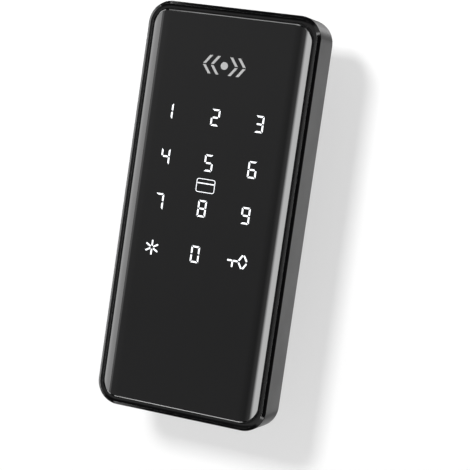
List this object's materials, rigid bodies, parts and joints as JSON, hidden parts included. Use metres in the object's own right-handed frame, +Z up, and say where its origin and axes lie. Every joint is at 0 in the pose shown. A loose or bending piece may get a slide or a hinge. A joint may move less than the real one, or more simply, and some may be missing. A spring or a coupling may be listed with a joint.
{
  "type": "electronic cabinet lock",
  "caption": "Slim touch keypad and card reader lock for a cabinet door, with a motor-driven cam behind a threaded neck and a battery tray that slides out below.",
  "frame": {"origin": "centre of the lock's flat back face, on the outer surface of the door", "axes": "+Z up along the lock's length, +X to the right seen from the front, +Y through the door into the cabinet"},
  "size_m": [0.06, 0.044, 0.135],
  "materials": {
    "housing": "satin black moulding",
    "panel": "polished black acrylic",
    "seal": "black foam adhesive",
    "light_guide": "milky diffuser",
    "board": "green solder mask",
    "light_chip": "white moulded light",
    "chip": "black moulding",
    "copper": "bare copper",
    "plate_steel": "black coated steel",
    "screw_steel": "blackened steel",
    "neck_metal": "nickel plated",
    "zinc_steel": "zinc plated",
    "bush_plastic": "natural acetal",
    "spindle_steel": "turned steel",
    "spring_steel": "dark spring steel",
    "cam_steel": "zinc plated pressing",
    "gear_plastic": "white acetal",
    "nickel": "nickel plated",
    "brass": "bare brass",
    "motor_steel": "plated steel can",
    "cradle_plastic": "black moulding",
    "capacitor": "satin can",
    "socket_plastic": "cream nylon",
    "ribbon": "amber film",
    "wire": "insulated lead",
    "plunger_plastic": "black moulding",
    "tray_plastic": "satin black moulding",
    "cell_sleeve": "plain printed sleeve"
  },
  "bodies": {
    "lock_body": {"housing": "housing", "touch_panel": "panel", "panel_seal": "seal", "key_light_guide": "light_guide", "reader_light_guide": "light_guide", "touch_board": "board", "key_lights": "light_chip", "touch_chip": "chip", "hall_sensors": "chip", "antenna_coil": "copper", "back_plate": "plate_steel", "back_plate_screws": "screw_steel", "neck": "neck_metal", "neck_washer": "zinc_steel", "neck_nut": "neck_metal", "spindle_bushes": "bush_plastic", "gearbox": "brass", "motor_can": "motor_steel", "motor_terminals": "brass", "motor_cradle": "cradle_plastic", "motor_strap": "spring_steel", "motor_screws": "screw_steel", "main_board": "board", "board_standoffs": "brass", "main_board_screws": "screw_steel", "controller_chip": "chip", "driver_chip": "chip", "main_capacitor": "capacitor", "buzzer": "chip", "ribbon_sockets": "socket_plastic", "ribbon_cable": "ribbon", "motor_plug": "socket_plastic", "motor_wires": "wire", "reset_switch": "chip", "battery_blades": "nickel"},
    "cam_set": {"worm_wheel": "gear_plastic", "position_magnet": "nickel", "spindle": "spindle_steel", "retaining_ring": "spring_steel", "cam": "cam_steel", "cam_washer": "zinc_steel", "cam_bolt": "zinc_steel"},
    "worm_set": {"worm": "brass", "motor_shaft": "spindle_steel"},
    "tray_set": {"battery_tray": "tray_plastic", "contact_springs": "nickel", "tray_links": "nickel", "tray_terminals": "nickel", "cell_1": "cell_sleeve", "cell_2": "cell_sleeve", "cell_3": "cell_sleeve", "cell_4": "cell_sleeve"},
    "reset_button": {"reset_plunger": "plunger_plastic"}
  },
  "joints": [
    {"name": "cam_turn", "type": "hinge", "parent": "lock_body", "child": "cam_set", "pos_m": [0, 0, 0.014], "axis": [0, 1, 0], "range_deg": [0, 90]},
    {"name": "worm_spin", "type": "hinge", "parent": "lock_body", "child": "worm_set", "pos_m": [0.0102, -0.006, 0.014], "axis": [0, 0, 1], "range_deg": [0, 2160]},
    {"name": "tray_slide", "type": "slide", "parent": "lock_body", "child": "tray_set", "axis": [0, 0, -1], "range_m": [0, 0.052]},
    {"name": "reset_press", "type": "slide", "parent": "lock_body", "child": "reset_button", "axis": [0, -1, 0], "range_m": [0, 0.00025], "stiffness_N_per_m": 800}
  ],
  "couplings": [
    {"joint": "worm_spin", "follows": "cam_turn", "ratio": 24}
  ]
}
